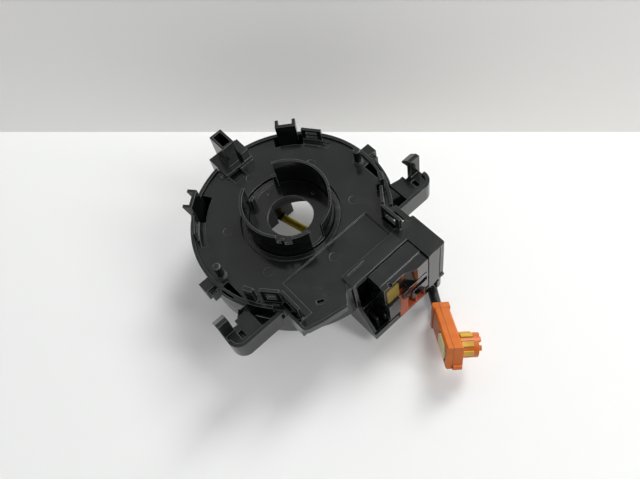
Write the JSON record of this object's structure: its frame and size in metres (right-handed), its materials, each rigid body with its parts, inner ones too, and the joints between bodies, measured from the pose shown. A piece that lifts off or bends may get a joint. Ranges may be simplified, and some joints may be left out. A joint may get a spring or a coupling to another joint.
{
  "type": "steering clock spring",
  "caption": "Rotary cable unit between a steering column and its wheel, with a round drum, a cancelling cam, side clips, a connector box and a short airbag lead.",
  "frame": {"origin": "on the steering shaft's axis, in the plane of the wheel side's foot, on which the unit rests", "axes": "+Z along the shaft's axis towards the steering column, +X towards the connector box, +Y along the box towards its covered end"},
  "size_m": [0.1669, 0.1312, 0.0696],
  "materials": {
    "black_plastic": "satin",
    "end_cover_black": "satin",
    "gloss_black": "gloss",
    "orange_plastic": "satin",
    "yellow_plastic": "satin",
    "pale_yellow_plastic": "satin",
    "ring_plastic": "satin",
    "white_plastic": "satin",
    "ribbon_film": "satin",
    "block_plastic": "satin",
    "contact_brass": "satin",
    "lead_jacket": "satin",
    "sleeve_rubber": "satin"
  },
  "bodies": {
    "column_side": {"column_cover": "black_plastic", "drum_case": "black_plastic", "box_end_cover": "end_cover_black", "column_connector": "gloss_black", "airbag_socket": "orange_plastic", "socket_lock": "yellow_plastic", "socket_latch": "gloss_black", "column_terminals": "contact_brass", "cable_end_block_outer": "block_plastic", "cable_outer_turns": "ribbon_film"},
    "wheel_side": {"rotor_hub": "black_plastic", "cancel_cam": "black_plastic", "slide_ring": "ring_plastic", "rotor_face": "black_plastic", "wheel_connector": "black_plastic", "wheel_terminals": "contact_brass", "lead_clamp": "black_plastic", "cable_inner_turns": "ribbon_film", "cable_end_block_inner": "block_plastic", "airbag_lead": "lead_jacket", "lead_sleeve": "sleeve_rubber", "squib_housing": "orange_plastic", "squib_cover": "orange_plastic", "squib_lock": "pale_yellow_plastic", "squib_keys": "yellow_plastic", "squib_contacts": "contact_brass"},
    "cable_carrier": {"roller_carrier": "white_plastic", "cable_u_turn": "ribbon_film"},
    "u_roller_body": {"u_roller": "white_plastic"},
    "guide_roller_1_body": {"guide_roller_1": "white_plastic"},
    "guide_roller_2_body": {"guide_roller_2": "white_plastic"},
    "guide_roller_3_body": {"guide_roller_3": "white_plastic"},
    "guide_roller_4_body": {"guide_roller_4": "white_plastic"}
  },
  "joints": [
    {"name": "rotor_turn", "type": "hinge", "parent": "column_side", "child": "wheel_side", "pos_m": [0, 0, 0.04], "axis": [0, 0, 1], "range_deg": [-900, 900]},
    {"name": "carrier_turn", "type": "hinge", "parent": "column_side", "child": "cable_carrier", "pos_m": [0, 0, 0.028], "axis": [0, 0, 1], "range_deg": [-414, 414]},
    {"name": "u_roller_spin", "type": "hinge", "parent": "cable_carrier", "child": "u_roller_body", "pos_m": [-0.03317, -0.01207, 0.035], "axis": [0, 0, 1], "continuous": true},
    {"name": "guide_roller_1_spin", "type": "hinge", "parent": "cable_carrier", "child": "guide_roller_1_body", "pos_m": [0.00126, -0.03618, 0.035], "axis": [0, 0, 1], "continuous": true},
    {"name": "guide_roller_2_spin", "type": "hinge", "parent": "cable_carrier", "child": "guide_roller_2_body", "pos_m": [0.0348, -0.00998, 0.035], "axis": [0, 0, 1], "continuous": true},
    {"name": "guide_roller_3_spin", "type": "hinge", "parent": "cable_carrier", "child": "guide_roller_3_body", "pos_m": [0.02024, 0.03001, 0.035], "axis": [0, 0, 1], "continuous": true},
    {"name": "guide_roller_4_spin", "type": "hinge", "parent": "cable_carrier", "child": "guide_roller_4_body", "pos_m": [-0.02229, 0.02853, 0.035], "axis": [0, 0, 1], "continuous": true}
  ],
  "couplings": [
    {"joint": "carrier_turn", "follows": "rotor_turn", "ratio": 0.4589}
  ]
}
